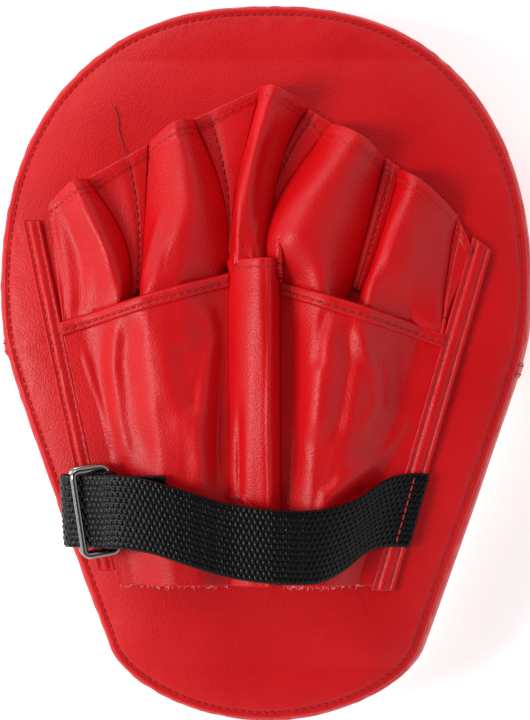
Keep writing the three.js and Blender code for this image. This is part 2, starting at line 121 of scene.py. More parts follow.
def layered(x, y, size, seed=0, layers=3):
    return sum(noise(x, y, size / 2**i, seed + i) / 2**i for i in range(layers))


def to_path(x, y, path):
    """Distance from each point to a path of [X, Y] corners, and where along it from 0 to 1."""
    path = np.asarray(path, float)
    lengths = np.hypot(*(path[1:] - path[:-1]).T)
    start = np.concatenate([[0], np.cumsum(lengths)])
    best = np.full(np.shape(x), np.inf)
    along = np.zeros(np.shape(x))
    for (ax, ay), (bx, by), size, before in zip(path[:-1], path[1:], lengths, start):
        t = np.clip(((x - ax) * (bx - ax) + (y - ay) * (by - ay)) / size**2, 0, 1)
        d = np.hypot(x - ax - t * (bx - ax), y - ay - t * (by - ay))
        nearer = d < best
        best = np.where(nearer, d, best)
        along = np.where(nearer, (before + t * size) / start[-1], along)
    return best, along


def folds(x, y, table):
    """Ridges and creases along paths: rows of (height, half width, path), fading at the ends."""
    total = np.zeros(np.shape(x))
    for height, width, path in table:
        d, t = to_path(x, y, path)
        total += height * np.exp(-((d / width) ** 2)) * smooth(0, 0.22, t) * smooth(1, 0.78, t)
    return total


# ---------------------------------------------------------------- shape of the pad, in mm
def half_width(y):
    below = TAPER_START - y
    taper = 0.5 * TAPER * (below + np.hypot(below, TAPER_SOFTNESS))
    top = np.clip((y - TOP_ROUND_START) / (END_Y - TOP_ROUND_START), 0, 1)
    wrist = np.clip((WRIST_ROUND - END_Y - y) / WRIST_ROUND, 0, 1)
    top_round = (1 - top**TOP_ROUND_POWER) ** (1 / TOP_ROUND_POWER)
    return (PAD_HALF_WIDTH - taper) * top_round * np.sqrt(1 - wrist**2)


def evenly(points, count, closed=False):
    """Resamples a line of points to an even spacing."""
    points = np.asarray(points, float)
    if closed:
        points = np.vstack([points, points[:1]])
    reach = np.concatenate([[0], np.cumsum(np.linalg.norm(np.diff(points, axis=0), axis=1))])
    at = np.linspace(0, reach[-1], count + 1 if closed else count)
    if closed:
        at = at[:-1]
    return np.stack([np.interp(at, reach, points[:, k]) for k in range(points.shape[1])], axis=1)


def make_girth(count):
    y = END_Y * np.cos(np.linspace(0, np.pi, 2000))
    left = np.stack([-half_width(y), y], axis=1)
    right = np.stack([half_width(y[-2:0:-1]), y[-2:0:-1]], axis=1)
    return evenly(np.vstack([left, right]), count, closed=True)


GIRTH = make_girth(720)
GIRTH_LENGTH = float(np.linalg.norm(GIRTH[1] - GIRTH[0])) * len(GIRTH)


def outline(inset):
    along = np.roll(GIRTH, -1, axis=0) - np.roll(GIRTH, 1, axis=0)
    along /= np.linalg.norm(along, axis=1)[:, None]
    return GIRTH + inset * np.stack([-along[:, 1], along[:, 0]], axis=1)


COARSE = make_girth(240)


def rim_distance(x, y):
    flat = np.stack([np.ravel(x), np.ravel(y)], axis=1)
    a, b = COARSE, np.roll(COARSE, -1, axis=0)
    side = b - a
    length = (side**2).sum(axis=1)
    out = np.empty(len(flat))
    for i in range(0, len(flat), 20000):
        p = flat[i : i + 20000, None, :] - a[None]
        t = np.clip((p * side).sum(axis=2) / length, 0, 1)
        out[i : i + 20000] = np.sqrt(((p - t[..., None] * side) ** 2).sum(axis=2).min(axis=1))
    return out.reshape(np.shape(x))


def bend(y):
    return BEND_SAG * np.maximum(0, 1 - (y / REST_START) ** 2)


def back_height(x, y):
    return PAD_THICKNESS + BACK_CROWN * (1 - np.exp(-rim_distance(x, y) / CROWN_REACH))


def back_z(x, y):
    return back_height(x, y) + bend(y)


def raised(xy, z):
    """Points [X, Y, Z] over a line of [X, Y], at a height above the pad's curved underside."""
    return np.column_stack([xy, z + bend(xy[:, 1])])


def upward(count):
    return np.tile([0, 0, 1.0], (count, 1))


# ---------------------------------------------------------------- mesh builders
def finished(mesh, name, material):
    """The mesh as a smooth-shaded object at the origin."""
    mesh.name = name
    mesh.polygons.foreach_set("use_smooth", [True] * len(mesh.polygons))
    mesh.materials.append(material)
    obj = bpy.data.objects.new(name, mesh)
    bpy.context.scene.collection.objects.link(obj)
    return obj


def finished_shell(bm, name, material):
    """A closed bmesh in mm, turned outwards and made an object in metres."""
    bmesh.ops.recalc_face_normals(bm, faces=bm.faces[:])
    bmesh.ops.scale(bm, vec=(MM, MM, MM), verts=bm.verts[:])
    mesh = bpy.data.meshes.new(name)
    bm.to_mesh(mesh)
    bm.free()
    return finished(mesh, name, material)


def shaped_grid(bm, points):
    """A grid with each vertex moved to its point; gives the vertices back in rows."""
    rows, cols, _ = points.shape
    made = bmesh.ops.create_grid(bm, x_segments=cols - 1, y_segments=rows - 1, size=1)["verts"]
    for vertex, place in zip(made, points.reshape(-1, 3).tolist(), strict=True):
        vertex.co = place
    return [made[row * cols : (row + 1) * cols] for row in range(rows)]


def extruded_rim(bm, rim, places):
    """Extrudes the open edge, which runs through the rim's vertices, out to the places."""
    edges = [e for e in bm.edges if e.is_boundary]
    made = bmesh.ops.extrude_edge_only(bm, edges=edges)["geom"]
    order = {vertex: k for k, vertex in enumerate(rim)}
    new_rim = [None] * len(rim)
    for vertex in (g for g in made if isinstance(g, bmesh.types.BMVert)):
        k = next(order[o] for o in (e.other_vert(vertex) for e in vertex.link_edges) if o in order)
        vertex.co = places[k]
        new_rim[k] = vertex
    return new_rim


def grid_normals(points):
    du = np.gradient(points, axis=1)
    dv = np.gradient(points, axis=0)
    n = np.cross(du, dv)
    return n / np.maximum(np.linalg.norm(n, axis=2), 1e-9)[..., None]


def grid(across, along):
    u = np.linspace(0, 1, across + 1)
    v = np.linspace(0, 1, along + 1)
    return np.meshgrid(u, v)


def sheet_object(name, points, thickness, material, relief=None):
    """A closed sheet over a grid of middle points, with a soft edge; relief lifts its top."""
    rows, cols, _ = points.shape
    n = grid_normals(points)
    lift = 0 if relief is None else relief[..., None]
    top = points + n * (thickness / 2 + lift)
    low = points - n * thickness / 2
    rim = [(0, i) for i in range(cols)] + [(j, cols - 1) for j in range(1, rows)]
    rim += [(rows - 1, i) for i in range(cols - 2, -1, -1)] + [(j, 0) for j in range(rows - 2, 0, -1)]
    down, along = np.array(rim).T
    out = points[down, along] - points[np.clip(down, 1, rows - 2), np.clip(along, 1, cols - 2)]
    out /= np.maximum(np.linalg.norm(out, axis=1), 1e-9)[:, None]
    edge = (top[down, along] + low[down, along]) / 2 + out * thickness * 0.38
    bm = bmesh.new()
    top_vertices = shaped_grid(bm, top)
    rounded = extruded_rim(bm, [top_vertices[j][i] for j, i in rim], edge)
    lower = extruded_rim(bm, rounded, low[down, along])
    low_vertices = shaped_grid(bm, low)
    pairs = {vertex: low_vertices[j][i] for vertex, (j, i) in zip(lower, rim)}
    bmesh.ops.weld_verts(bm, targetmap=pairs)
    obj = finished_shell(bm, name, material)
    along = np.linalg.norm(np.diff(points, axis=0), axis=2).sum(axis=0).mean()
    return obj


def loops_object(name, loops, material, closed_profile=False):
    """A body skinned over loops of equal length, each end closed by a fan unless the profile closes."""
    loops = np.asarray(loops, float)
    rolled = np.concatenate([loops, loops[:, :1]], axis=1)
    if closed_profile:
        rolled = np.concatenate([rolled, rolled[:1]])
    bm = bmesh.new()
    rows = shaped_grid(bm, rolled)
    bmesh.ops.weld_verts(bm, targetmap={row[-1]: row[0] for row in rows})
    if closed_profile:
        bmesh.ops.weld_verts(bm, targetmap=dict(zip(rows[-1][:-1], rows[0][:-1])))
    else:
        ends = bmesh.ops.holes_fill(bm, edges=[e for e in bm.edges if e.is_boundary])
        bmesh.ops.poke(bm, faces=ends["faces"], center_mode="MEAN")
    return finished_shell(bm, name, material)


def cut(obj, offset, keep_fingertip_side):
    """Keeps the part of obj on one side of the join line, moved by the offset, and closes it."""
    bm = bmesh.new()
    bm.from_mesh(obj.data)
    angle = math.atan2(JOIN_RIGHT_Y - JOIN_LEFT_Y, 2 * PAD_HALF_WIDTH)
    normal = (-math.sin(angle), math.cos(angle), 0)
    centre = (0, ((JOIN_LEFT_Y + JOIN_RIGHT_Y) / 2 + offset) * MM, 0)
    everything = bm.verts[:] + bm.edges[:] + bm.faces[:]
    bmesh.ops.bisect_plane(
        bm, geom=everything, plane_co=centre, plane_no=normal,
        clear_inner=keep_fingertip_side, clear_outer=not keep_fingertip_side,
    )
    bmesh.ops.holes_fill(bm, edges=[e for e in bm.edges if e.is_boundary])
    bmesh.ops.recalc_face_normals(bm, faces=bm.faces[:])
    bm.to_mesh(obj.data)
    bm.free()
    return obj


class Thread:
    """Collects short stitches, loose fibres and seams into one mesh."""

    def __init__(self):
        self.strokes = []

    def tube(self, line, radius):
        """A thin closed tube along a line of points; radius may change along it."""
        self.strokes.append((np.asarray(line, float), np.broadcast_to(radius, len(line))))

    def run(self, line, normals, pitch=2.6, length=1.9, radius=0.3, lift=0.1):
        """Stitches along a line that lies on a surface."""
        line, normals = np.asarray(line, float), np.asarray(normals, float)
        reach = np.concatenate([[0], np.cumsum(np.linalg.norm(np.diff(line, axis=0), axis=1))])
        count = max(1, int(reach[-1] / pitch))
        for i in range(count):
            middle = (i + 0.5) * reach[-1] / count
            at = middle + length * np.array([-0.5, -0.4, 0, 0.4, 0.5])
            p = np.stack([np.interp(at, reach, line[:, k]) for k in range(3)], axis=1)
            n = np.stack([np.interp(at, reach, normals[:, k]) for k in range(3)], axis=1)
            rise = np.array([-0.35, 0.0, lift, 0.0, -0.35])
            self.tube(p + n * rise[:, None], radius * np.array([0.7, 0.95, 1, 0.95, 0.7]))

    def build(self, name, material):
        curve = bpy.data.curves.new(name, "CURVE")
        curve.dimensions = "3D"
        curve.bevel_depth = MM
        curve.bevel_resolution = 1
        curve.use_fill_caps = True
        for line, radius in self.strokes:
            spline = curve.splines.new("POLY")
            spline.points.add(len(line) - 1)
            spline.points.foreach_set("co", np.column_stack([line * MM, np.ones(len(line))]).ravel())
            spline.points.foreach_set("radius", radius.astype(float))
        holder = bpy.data.objects.new(name, curve)
        mesh = bpy.data.meshes.new_from_object(holder)
        bpy.data.objects.remove(holder)
        bpy.data.curves.remove(curve)
        return finished(mesh, name, material)


# ---------------------------------------------------------------- materials
def srgb(code):
    """Linear colour from a hex code."""
    values = [int(code[i : i + 2], 16) / 255 for i in (0, 2, 4)]
    return [v / 12.92 if v <= 0.04045 else ((v + 0.055) / 1.055) ** 2.4 for v in values] + [1]


class Shader:
    def __init__(self, name, **values):
        self.material = bpy.data.materials.new(name)
        self.material.use_nodes = True
        self.tree = self.material.node_tree
        self.surface = self.tree.nodes["Principled BSDF"]
        for key, value in values.items():
            self.surface.inputs[key.replace("_", " ")].default_value = value

    def add(self, kind, **values):
        node = self.tree.nodes.new(kind)
        for key, value in values.items():
            if key.startswith("set_"):
                setattr(node, key[4:], value)
            elif hasattr(value, "is_linked"):
                self.tree.links.new(value, node.inputs[key.replace("_", " ")])
            else:
                node.inputs[key.replace("_", " ")].default_value = value
        return node

    def join(self, output, key):
        self.tree.links.new(output, self.surface.inputs[key])

    def ramp(self, value, low, high, start=0.0, end=1.0):
        node = self.add("ShaderNodeMapRange", Value=value)
        node.inputs["From Min"].default_value = start
        node.inputs["From Max"].default_value = end
        node.inputs["To Min"].default_value = low
        node.inputs["To Max"].default_value = high
        return node.outputs["Result"]

    def tint(self, factor, low, high):
        node = self.add("ShaderNodeMix", set_data_type="RGBA")
        self.tree.links.new(factor, node.inputs[0])
        node.inputs[6].default_value = low
        node.inputs[7].default_value = high
        return node.outputs[2]


def leather(name, light, dark, grain=0.75, depth=0.7, roughness=(0.36, 0.47)):
    """Coated artificial leather: a pebbled grain, pores between the pebbles, uneven sheen."""
    s = Shader(name, Specular_IOR_Level=0.28)
    place = s.add("ShaderNodeTexCoord").outputs["Object"]
    pebbles = s.add("ShaderNodeTexVoronoi", Vector=place, Scale=1000 / grain, Randomness=0.9)
    fine = s.add("ShaderNodeTexNoise", Vector=place, Scale=1000 / 0.35, Detail=2.0)
    broad = s.add("ShaderNodeTexNoise", Vector=place, Scale=1000 / 38, Detail=3.0)
    pebble = s.ramp(pebbles.outputs["Distance"], 1, 0, 0, 0.7)
    first = s.add("ShaderNodeBump", Height=pebble, Strength=depth, Distance=0.00009)
    second = s.add("ShaderNodeBump", Height=fine.outputs["Fac"], Strength=depth * 0.5, Distance=0.00005)
    s.tree.links.new(first.outputs["Normal"], second.inputs["Normal"])
    s.join(second.outputs["Normal"], "Normal")
    s.join(s.ramp(broad.outputs["Fac"], *roughness, 0.3, 0.7), "Roughness")
    s.join(s.tint(s.ramp(broad.outputs["Fac"], 0, 1, 0.35, 0.65), srgb(dark), srgb(light)), "Base Color")
    return s.material


def plain(name, colour, roughness, **values):
    s = Shader(name, Base_Color=srgb(colour), Roughness=roughness, **values)
    return s.material


# Artificial leather with a fine pebble grain: saturated red, satin, with soft broad lights.
RED = leather("red artificial leather", "cf060f", "c3040c")
# The same leather in white on half of the strike face.
WHITE = leather("white artificial leather", "ebe7e0", "e4dfd7")


def webbing_material():
    """Black polypropylene webbing: dull threads with a faint sheen on the crowns of the weave."""
    s = Shader("black webbing", Roughness=0.27, Specular_IOR_Level=0.2)
    place = s.add("ShaderNodeTexCoord").outputs["Object"]
    fibres = s.add("ShaderNodeTexNoise", Vector=place, Scale=1000 / 0.3, Detail=2.0)
    bump = s.add("ShaderNodeBump", Height=fibres.outputs["Fac"], Strength=0.6, Distance=0.00012)
    s.join(bump.outputs["Normal"], "Normal")
    s.join(s.tint(fibres.outputs["Fac"], srgb("010101"), srgb("050505")), "Base Color")
    return s.material


WEB = webbing_material()
# Nickel-plated wire, a little tarnished: grey, and mirror-like along its lights.
STEEL = plain("nickel-plated wire", "8f8d88", 0.16, Metallic=1.0)
# Red sewing thread, sunk in its own groove; its colour is set darker than the leather's as painted shade for
# the shadow in the stitch holes.
SHADED_RED_THREAD = plain("red sewing thread", "9c0f16", 0.65)
DARK_RED_THREAD = plain("deep red sewing thread", "b3121a", 0.6)
WHITE_THREAD = plain("white sewing thread", "e8e4dc", 0.6)
# The leather's pale backing cloth, which frays at the raw edge.
FRAY = plain("frayed backing fibres", "e6b3b0", 0.85)
# The pad's foams, dull and even: a dense dark one and two soft pale ones.
DENSE_FOAM = plain("dense dark foam", "3a3a3c", 0.9)
SOFT_FOAM = plain("soft pale foam", "e8e6e0", 0.9)


# ---------------------------------------------------------------- pad
stitch_red = Thread()
stitch_rim = Thread()
stitch_white = Thread()
RIM_STITCH = 4.3                 # inset of the topstitch round the back cover
TURN = np.linspace(0, GIRTH_LENGTH, len(GIRTH), endpoint=False)
JOIN_SLOPE = (JOIN_RIGHT_Y - JOIN_LEFT_Y) / (2 * PAD_HALF_WIDTH)


def join_y(x, offset=0):
    return (JOIN_LEFT_Y + JOIN_RIGHT_Y) / 2 + JOIN_SLOPE * x + offset


def back_relief(x, y, inset):
    """Small hollows and swellings of the taut back cover."""
    relief = 0.22 * layered(x, y, 46, 3) * smooth(3, 20, inset)
    relief -= 0.42 * hump(inset, RIM_STITCH, 0.75)
    relief += 0.16 * noise(x, y, 5.5, 8) * hump(inset, RIM_STITCH + 2.2, 2.6)
    relief += 0.10 * noise(x, y, 3.2, 9) * hump(inset, RIM_STITCH - 1.2, 1.2)
    for sx in (-1, 1):
        cx = sx * 90
        near = np.exp(-(((x - cx + sx * 8) / 10) ** 2) - ((y - join_y(cx)) / 7) ** 2)
        relief += 0.3 * near * noise(y * 0.35 - x * 0.2, y + x * 0.3, 2.2, 5 + sx) * smooth(1.5, 5, inset)
    return relief


def make_back_cover():
    rim = [(4.4, -LEATHER), (3.0, -1.15), (2.35, -0.9), (2.0, -0.5), (2.05, -0.12), (2.45, 0.12)]
    loops = []
    for inset, rise in rim:
        xy = outline(inset)
        crown = BACK_CROWN * (1 - math.exp(-inset / CROWN_REACH))
        loops.append(raised(xy, PAD_THICKNESS + crown + rise))
    inner = outline(18)
    rings = [(outline(i), i) for i in np.arange(2.9, 18, 0.42)]
    rings += [(inner * share, None) for share in np.linspace(1, 0.02, 66)]
    for xy, inset in rings:
        reach = rim_distance(xy[:, 0], xy[:, 1]) if inset is None else np.full(len(xy), inset)
        z = back_z(xy[:, 0], xy[:, 1]) + back_relief(xy[:, 0], xy[:, 1], reach) + 0.14 * hump(reach, 3.1, 0.9)
        loops.append(np.column_stack([xy, z]))
    for share in (0.02, 0.5, 1):
        xy = inner * share
        loops.insert(0, np.column_stack([xy, back_z(xy[:, 0], xy[:, 1]) - LEATHER]))
    obj = loops_object("back_cover_visual", loops, RED)
    xy = outline(RIM_STITCH)
    line = np.column_stack([xy, back_z(xy[:, 0], xy[:, 1]) - 0.25])
    line = np.vstack([line, line[:1]])
    stitch_rim.run(line, upward(len(line)), pitch=2.7, length=2.1, radius=0.24, lift=0.1)
    return obj


def make_side_band():
    seams = [FRONT_SEAM, PAD_THICKNESS - 0.9]
    heights = np.concatenate([
        np.linspace(seams[0], seams[0] + 4, 9),
        np.linspace(seams[0] + 5.5, seams[1] - 5.5, 12),
        np.linspace(seams[1] - 4, seams[1], 9),
    ])
    loops = []
    for z in heights:
        t = (z - seams[0]) / (seams[1] - seams[0])
        inset = np.interp(t, [0, 0.05, 0.25, 0.6, 0.86, 0.95, 1], [1.5, 0.75, 0.05, 0, 0.55, 1.2, 2.4])
        near = math.exp(-((z - seams[0]) / 4) ** 2) + math.exp(-((z - seams[1]) / 5) ** 2)
        ripple = 0.30 * near * noise(TURN, z * 0.6, 3.4, 2)
        ripple += 0.35 * noise(TURN, z * 1.2, 34, 4) * math.sin(math.pi * t)
        xy = outline(0) - (outline(1) - outline(0)) * (ripple - inset)[:, None]
        loops.append(raised(xy, z))
    inner = [raised(outline(3.4), z) for z in (seams[1] - 1, seams[0] + 1)]
    upper = loops_object("side_band_upper_visual", loops + inner, RED, closed_profile=True)
    lower = loops_object("side_band_lower_visual", loops + inner, RED, closed_profile=True)
    cut(upper, 0.4, True)
    cut(lower, -1.4, False)
    # The lengths overlap at each side: the upper one's folded end lies over the lower one.
    outwards = raised(outline(0) - outline(1), 0)
    outwards[:, 2] = 0
    proud = [loop + 0.45 * outwards for loop in loops]
    under = [loop - 0.9 * outwards for loop in loops[::-1]]
    joins = []
    for side in ("left", "right"):
        obj = loops_object(f"side_join_{side}_visual", proud + under, RED, closed_profile=True)
        cut(obj, -JOIN_LENGTH / 2, True)
        cut(obj, JOIN_LENGTH / 2, False)
        bm = bmesh.new()
        bm.from_mesh(obj.data)
        away = [v for v in bm.verts if (v.co.x > 0) == (side == "left")]
        bmesh.ops.delete(bm, geom=away, context="VERTS")
        bm.to_mesh(obj.data)
        bm.free()
        joins.append(obj)
        sign = -1 if side == "left" else 1
        for offset in (-1.5, 1.5):
            line, up = [], []
            for z, loop in zip(heights, loops):
                here = loop[np.sign(loop[:, 0]) == sign]
                k = np.argmin(np.abs(here[:, 1] - join_y(here[:, 0], offset)))
                line.append([here[k, 0] + sign * 0.42, join_y(here[k, 0], offset), z + bend(here[k, 1])])
                up.append([sign, 0, 0])
            stitch_red.run(line, up, pitch=2.9, length=2.0, radius=0.28, lift=0.15)
    return upper, lower, joins


# The strike cover's rolled rim, as [inset, height] from the band's seam to the face.
STRIKE_RIM = [
    (3.6, FRONT_SEAM - 0.9), (2.1, FRONT_SEAM - 0.5), (1.0, FRONT_SEAM - 0.55),
    (0.95, FRONT_SEAM - 1.2), (1.25, 7), (1.6, 5.6), (2.2, 4.2), (3.0, 2.9),
    (4.0, 1.8), (5.2, 0.95), (6.6, 0.35), (8.2, 0.05),
]


def make_strike_covers():
    def loops():
        out = []
        for inset, z in STRIKE_RIM:
            xy = outline(inset)
            ripple = 0.35 * hump(z, 6.5, 2.6) * noise(TURN, z, 3.6, 12)
            xy = xy + (outline(0) - outline(1)) * (ripple - np.maximum(ripple.max(), 0))[:, None]
            out.append(raised(xy, z))
        for inset in np.arange(9, 18.1, 1.0):
            xy = outline(inset)
            out.append(raised(xy, 0))
        base = outline(18)
        for share in np.linspace(0.985, 0.02, 62):
            xy = base * share
            seam = hump(xy[:, 1] - join_y(xy[:, 0]), 0, 1.3)
            relief = 0.9 * seam + 0.3 * layered(xy[:, 0], xy[:, 1], 40, 6) * smooth(1, 0.9, share)
            out.append(raised(xy, np.maximum(relief, 0)))
        back = [raised(base * share, 2.4) for share in (0.02, 1)]
        return (back + out)[::-1]

    made = []
    for name, material, offset, upper in (("upper", RED, 0.1, True), ("lower", WHITE, -0.1, False)):
        obj = loops_object(f"strike_cover_{name}_visual", loops(), material)
        cut(obj, offset, upper)
        made.append(obj)
        thread = stitch_red if upper else stitch_white
        x = np.linspace(-86, 86, 90)
        y = join_y(x, 2.6 if upper else -2.6)
        line = np.column_stack([x, y, bend(y) - 0.05])
        thread.run(line, np.tile([0, 0, -1.0], (len(line), 1)), pitch=3.0, length=2.3, radius=0.3)
    return made


def make_foam():
    side = BAND_BULGE + LEATHER + 1
    front = LEATHER + FOAM_PLAY + 1.2
    made = []
    middle = front + FOAM_FRONT - 1.2 + FOAM_PLAY
    back = middle + FOAM_MIDDLE + FOAM_PLAY
    rows = [
        ("foam_front", front, middle - FOAM_PLAY, FRONT_SEAM, DENSE_FOAM),
        ("foam_middle", middle, middle + FOAM_MIDDLE, middle, SOFT_FOAM),
        ("foam_back", back, PAD_THICKNESS - LEATHER - 1.2, back, SOFT_FOAM),
    ]
    for name, low, high, low_rim, material in rows:
        loops = []
        for inset, z, share in (
            (18, low, 0.05), (18, low, 1), (side + 8, low, 1), (side + 1.5, low_rim, 1),
            (side, low_rim + 1, 1), (side, high - 1, 1), (side + 1, high, 1),
            (18, high, 1), (18, high, 0.05),
        ):
            xy = outline(inset)[::3] * share
            loops.append(raised(xy, z))
        made.append(loops_object(f"{name}_visual", loops, material))
    return made


# ---------------------------------------------------------------- glove, points in mm
def share_x(share):
    return share * GLOVE_HALF_SPAN


def strip_edge(strip, y):
    (tip, tip_y), (wrist, wrist_y) = strip
    return share_x(mix(wrist, tip, (y - wrist_y) / (tip_y - wrist_y)))


LEFT_STRIP = ((-1.058, 49.5), (-0.729, -72.7))
RIGHT_STRIP = ((0.992, 38.9), (0.566, -79.7))


def left_inner(y):
    return strip_edge(LEFT_STRIP, y) + STRIP_WIDTH


def right_inner(y):
    return strip_edge(RIGHT_STRIP, y) - STRIP_WIDTH - 1.4


def on_back(x, y, height):
    return np.stack([x, y, back_z(x, y) + height], axis=-1)


def wrinkles(x, y, seed, size=7.0, stretch=3.0, angle=0.0):
    """Fine irregular creases, drawn out along the angle."""
    c, s = math.cos(angle), math.sin(angle)
    a, b = (x * c + y * s) / stretch, -x * s + y * c
    warp = 2.2 * noise(x, y, 14, seed + 5)
    ridge = 1 - np.abs(noise(a + warp, b + warp, size, seed))
    return ridge**4


def make_strips():
    made = []
    sides = (("left", LEFT_STRIP, left_inner, 0), ("right", RIGHT_STRIP, right_inner, 4.4))
    for side, strip, inner, cut_up in sides:
        u, v = grid(14, 190)
        (tip, tip_y), (wrist, wrist_y) = strip
        from_rim = u if side == "left" else 1 - u
        y = mix(wrist_y, tip_y + cut_up * from_rim, v)
        x = mix(strip_edge(strip, y), inner(y), from_rim)
        points = on_back(x, y, GAP + STRIP_THICKNESS / 2)
        relief = -0.55 * (hump(u, 0.2, 0.075) + hump(u, 0.8, 0.075)) + 0.16 * noise(x * 0.6, y, 4.2, 21)
        relief += 0.35 * hump(u, 0.5, 0.2) + 0.15 * hump(u, 0.05, 0.08) + 0.15 * hump(u, 0.95, 0.08)
        made.append(sheet_object(f"side_strip_{side}_visual", points, STRIP_THICKNESS, RED, relief))
        for at in (0.2, 0.8):
            yy = mix(wrist_y + 1, tip_y + cut_up * at - 1, np.linspace(0, 1, 160))
            xx = mix(strip_edge(strip, yy), inner(yy), at)
            line = on_back(xx, yy, GAP + STRIP_THICKNESS - 0.42)
            stitch_red.run(line, upward(160), pitch=2.7, length=1.9, radius=0.24)
    return made


# Each stall's two feet as [X, Y] from the knuckle end to the fingertip end, its arch's height
# halfway and at the fingertip end, where across it the ridge runs at the knuckle end, halfway
# and at the tip, and its long folds as (height, width, across at the knuckle end, across at
# the tip, start, end), all across and along as shares.
STALLS = [
    dict(left=[(-70.3, 11.4), (-73.0, 33), (-76.2, 54.8)], right=[(-48.6, 17.6), (-47.5, 40), (-62.8, 64.2)],
         rise=(10.5, 8), ridge=(0.80, 0.72, 0.72), ends=(2, 7),
         folds=[(0.7, 0.06, 0.20, 0.28, 0.0, 1.0), (-0.5, 0.05, 0.32, 0.38, 0.0, 0.9),
                (0.6, 0.10, 0.60, 0.60, 0.5, 1.0)]),
    dict(left=[(-43.0, 20.6), (-41.6, 48), (-40.4, 76.5)], right=[(-12.4, 29.4), (-13.2, 55), (-24.8, 85.4)],
         rise=(12.5, 8.5), ridge=(0.22, 0.50, 0.62), ends=(8, 3),
         folds=[(1.5, 0.05, 0.06, 0.52, 0.0, 0.62), (-0.8, 0.10, 0.40, 0.30, 0.0, 0.5)]),
    dict(left=[(-12.0, 34.0), (-8.5, 64), (-0.6, 96.5)], right=[(4.6, 34.0), (6.0, 66), (15.8, 88.8)],
         rise=(14, 15), ridge=(0.40, 0.36, 0.34), ends=(8, 8),
         folds=[(0.9, 0.06, 0.34, 0.24, 0.0, 0.7), (-0.9, 0.09, 0.66, 0.62, 0.1, 0.9)]),
    dict(left=[(6.0, 26.4), (1.0, 47), (24.2, 83.4)], right=[(29.0, 18.6), (36.0, 44), (42.8, 71.4)],
         rise=(15, 11), ridge=(0.45, 0.40, 0.52), ends=(4, 4),
         folds=[(0.8, 0.07, 0.14, 0.34, 0.12, 0.75), (-0.9, 0.06, 0.16, 0.40, 0.0, 0.55),
                (0.6, 0.12, 0.62, 0.66, 0.0, 0.7)]),
    dict(left=[(31.6, 17.4), (40.5, 41), (48.0, 67.4)], right=[(63.6, 6.8), (64.6, 29), (68.2, 50.4)],
         rise=(12, 8.5), ridge=(0.30, 0.24, 0.40), ends=(6, 2),
         folds=[(1.0, 0.06, 0.16, 0.20, 0.05, 0.85), (-0.6, 0.08, 0.36, 0.42, 0.0, 0.8),
                (0.5, 0.06, 0.84, 0.80, 0.0, 0.6)]),
]


# How gently a stall's knuckle end flattens under the cover's edge.
TUCK = 1.2


def along_path(path, v):
    path = np.asarray(path, float)
    t = np.linspace(0, 1, len(path))
    coefficients = np.polyfit(t, path, len(path) - 1)
    return np.stack([np.polyval(coefficients[:, k], v) for k in range(2)], axis=-1)


def eased(values, v):
    """A smooth curve through the values, which stand evenly spaced along v."""
    t = np.linspace(0, 1, len(values))
    return np.polyval(np.polyfit(t, values, len(values) - 1), v)


def hem_height(x):
    """How high the cover's knuckle edge stands above the back cover at X."""
    left_a, left_b = cover_edges("left", 18.0)
    right_a, right_b = cover_edges("right", 14.0)
    left = cover_height(np.clip((x - left_a) / (left_b - left_a), 0, 1), 18.0, "left")
    right = cover_height(np.clip((x - right_a) / (right_b - right_a), 0, 1), 14.0, "right")
    pleat = FOOT + 0.38 * COVER_HEIGHT + PLEAT_HEIGHT * 0.8
    return np.where(x < left_b, left, np.where(x > right_a, right, pleat))


def stall_points(index, u, v):
    stall = STALLS[index]
    left, right = along_path(stall["left"], v), along_path(stall["right"], v)
    width = np.linalg.norm(right - left, axis=-1)
    wall = LEATHER / 2 / width
    s = (1 - np.cos(np.pi * u)) / 2
    ridge = eased(stall["ridge"], v)
    power = math.log(0.5) / np.log(ridge)
    bow = np.sin(np.pi * np.clip(s, 0, 1) ** power)
    # The foot away from the ridge meets the back flat; the one near it stands up steeply.
    lean = 0.07 * np.tanh((ridge - 0.45) / 0.12) * np.sin(np.pi * s) ** 2
    xy = left + (right - left) * mix(wall, 1 - wall, s + lean)[..., None]
    height = eased((stall["rise"][0], stall["rise"][0], stall["rise"][1]), v)
    height = GAP + 0.4 + height * np.maximum(bow, 0) ** 0.85
    # The knuckle end is tucked under the cover's edge.
    room = np.maximum(hem_height(xy[..., 0]) - 1.9, 0.9)
    tucked = np.minimum(height, room)
    eased_in = -TUCK * np.logaddexp(-height / TUCK, -(room + 1.5) / TUCK)
    height = mix(tucked, mix(eased_in, height, smooth(0.05, 0.5, v)), smooth(0.0, 0.12, v))
    points = on_back(xy[..., 0], xy[..., 1], height)
    # The fingertip edge is cut a little rounded, and hangs back where the arch is high.
    points[..., 1] += 1.6 * np.sin(np.pi * s) * smooth(0.8, 1, v)
    return points


